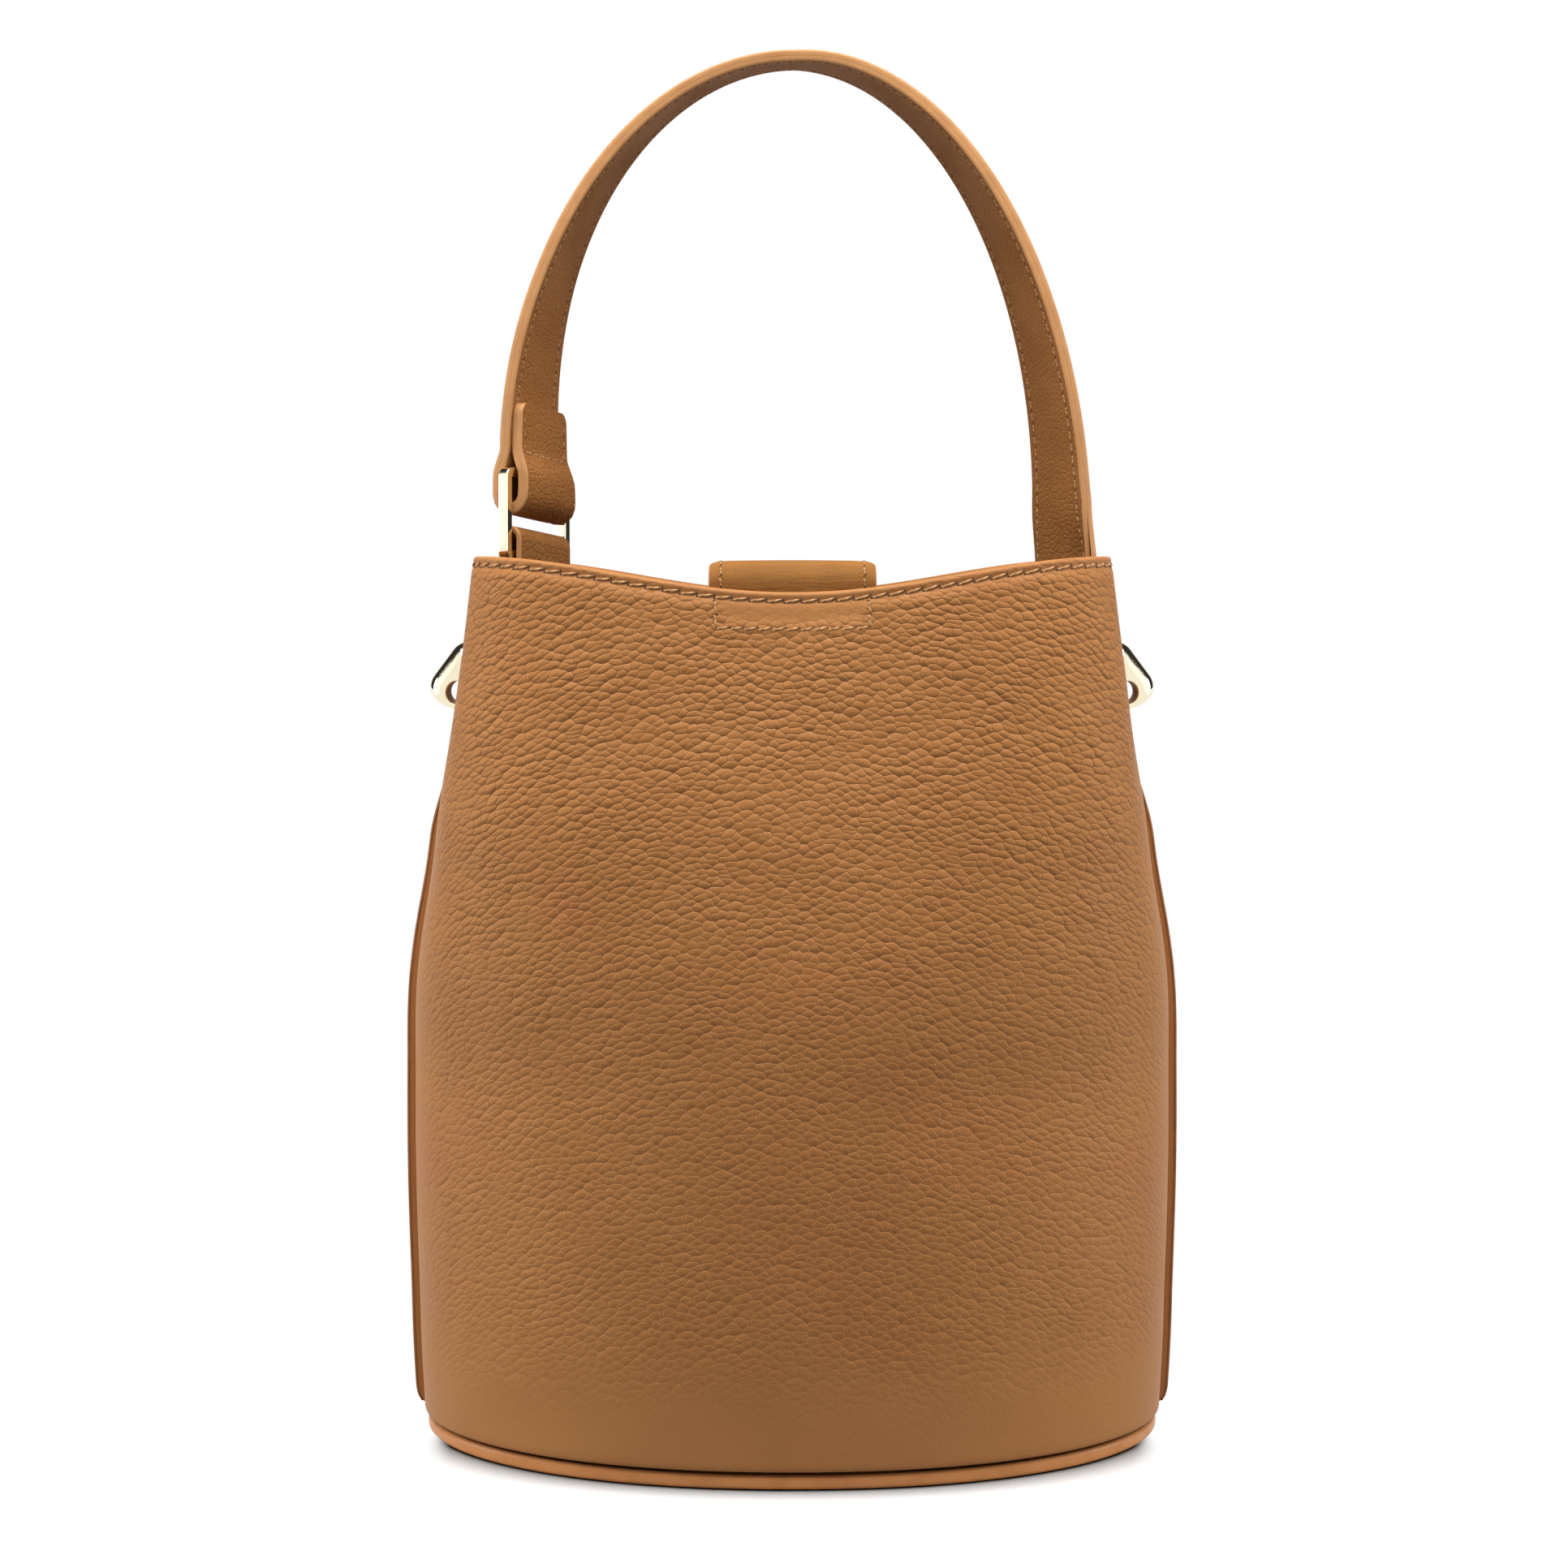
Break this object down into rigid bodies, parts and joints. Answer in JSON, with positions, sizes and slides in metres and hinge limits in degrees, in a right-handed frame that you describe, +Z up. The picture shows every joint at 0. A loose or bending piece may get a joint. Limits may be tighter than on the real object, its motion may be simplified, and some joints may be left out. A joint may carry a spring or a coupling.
{
  "type": "bucket bag",
  "caption": "Small bucket bag of pebbled leather with an oval base, pinched sides, a closure tab over the mouth, a stiff arched handle on a ring, and cast strap lugs.",
  "frame": {"origin": "middle of the underside of the base", "axes": "+Z up to the handle, -Y out of the back where the closure tab is sewn on, +X right seen from the back"},
  "size_m": [0.2006, 0.1228, 0.355],
  "materials": {
    "tan_leather": "pebbled",
    "pale_gold": "polished",
    "stiff_board": "matte",
    "lining_fabric": "napped",
    "magnet": "plain"
  },
  "bodies": {
    "bag": {"back_panel": "tan_leather", "front_panel": "tan_leather", "base_panel": "tan_leather", "mouth_facing": "tan_leather", "closure_tab_root": "tan_leather", "handle_bend": "tan_leather", "handle_root": "tan_leather", "ring_tab_bend": "tan_leather", "ring_tab_root": "tan_leather", "strap_lug_left": "pale_gold", "strap_lug_right": "pale_gold", "lug_screw_left": "pale_gold", "lug_screw_right": "pale_gold", "lug_washer_left": "pale_gold", "lug_washer_right": "pale_gold", "snap_socket": "pale_gold", "snap_socket_washer": "pale_gold", "base_board": "stiff_board", "back_stiffener": "stiff_board", "front_stiffener": "stiff_board", "lining_wall": "lining_fabric", "lining_floor": "lining_fabric", "snap_magnet": "magnet"},
    "handle": {"handle_strap": "tan_leather", "handle_lining": "tan_leather", "ring_tab": "tan_leather"},
    "ring": {"handle_ring": "pale_gold"},
    "closure": {"closure_tab": "tan_leather", "closure_tab_lining": "tan_leather", "snap_stud": "pale_gold", "snap_stud_washer": "pale_gold"}
  },
  "joints": [
    {"name": "handle_swing", "type": "hinge", "parent": "bag", "child": "handle", "pos_m": [0, -0.014, 0.2285], "axis": [1, 0, 0], "range_deg": [-45, 45], "deforming": ["handle_bend", "ring_tab_bend"]},
    {"name": "ring_rock", "type": "hinge", "parent": "handle", "child": "ring", "pos_m": [-0.06608, -0.014, 0.2253], "axis": [0.4412, 0.8974, 0], "range_deg": [-2, 2]},
    {"name": "closure_fold", "type": "hinge", "parent": "bag", "child": "closure", "pos_m": [0, -0.04361, 0.21824], "axis": [1, 0, 0], "range_deg": [0, 95]}
  ]
}
